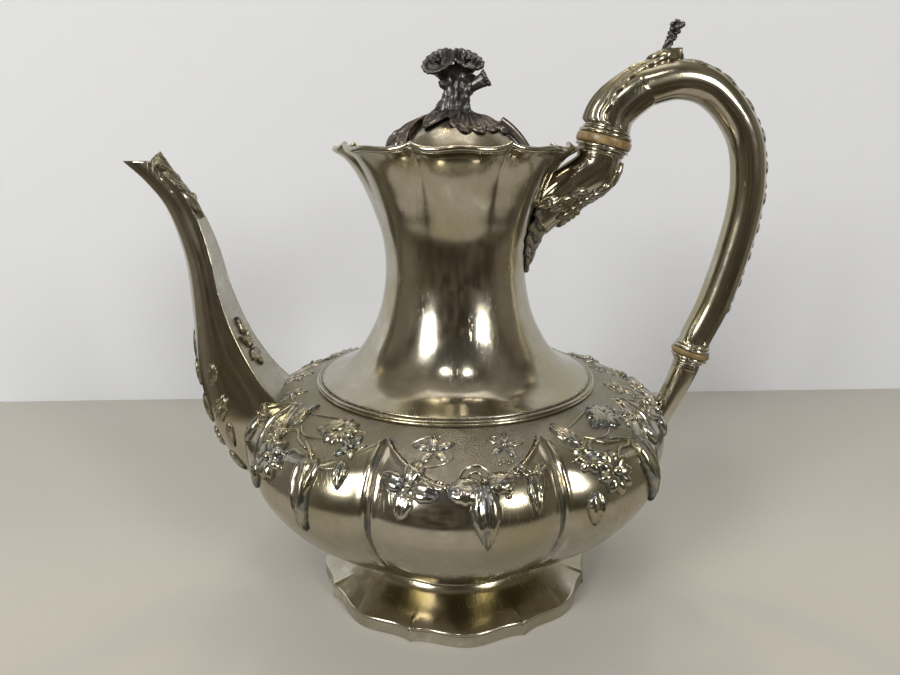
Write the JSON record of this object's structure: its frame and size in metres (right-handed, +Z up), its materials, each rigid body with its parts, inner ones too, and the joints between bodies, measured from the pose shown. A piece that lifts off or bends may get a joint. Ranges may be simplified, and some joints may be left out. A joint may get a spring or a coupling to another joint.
{
  "type": "coffee pot",
  "caption": "Lobed silver coffee pot with a flared neck, hinged flower-topped lid, tall curved spout, spreading foot and a hollow handle on bone insulators.",
  "frame": {"origin": "centre of the foot's underside, on the surface that the pot stands on", "axes": "+Z up along the pot's axis, -X towards the spout, +X towards the handle"},
  "size_m": [0.2787, 0.1922, 0.2506],
  "materials": {
    "silver": "polished plated silver, lightly tarnished",
    "cast_silver": "cast silver, tarnished in the hollows",
    "oxidised_silver": "cast silver, dark oxidised with bright high spots",
    "bone": "old yellowed bone, polished"
  },
  "bodies": {
    "pot": {"bowl": "silver", "neck": "silver", "rim_wire": "silver", "shoulder_ring": "silver", "lid_seat": "silver", "foot_collar": "silver", "foot": "silver", "foot_apron": "silver", "spout": "silver", "spout_tip_leaf": "cast_silver", "spout_back_sprig": "cast_silver", "spout_rosettes": "cast_silver", "upper_socket": "silver", "upper_socket_foliage": "oxidised_silver", "upper_socket_collar": "silver", "upper_insulator": "bone", "upper_handle_collar": "silver", "handle_tube": "silver", "thumb_leaf": "cast_silver", "thumb_sprig": "oxidised_silver", "handle_vine": "oxidised_silver", "lower_handle_collar": "silver", "lower_insulator": "bone", "lower_socket_collar": "silver", "lower_socket": "silver", "handle_pins": "silver", "hinge_bracket": "silver", "hinge_pin": "silver"},
    "lid": {"lid_flange": "silver", "lid_dome": "silver", "lid_hinge_leaf": "silver", "finial_stud": "oxidised_silver", "finial_nut": "silver", "finial_stem": "oxidised_silver", "finial_flowers": "oxidised_silver", "finial_bud": "oxidised_silver", "finial_leaves": "oxidised_silver", "finial_tendril": "oxidised_silver"}
  },
  "joints": [
    {"name": "lid_hinge", "type": "hinge", "parent": "pot", "child": "lid", "pos_m": [0.03709, 0, 0.1877], "axis": [0, 1, 0], "range_deg": [0, 50]}
  ]
}
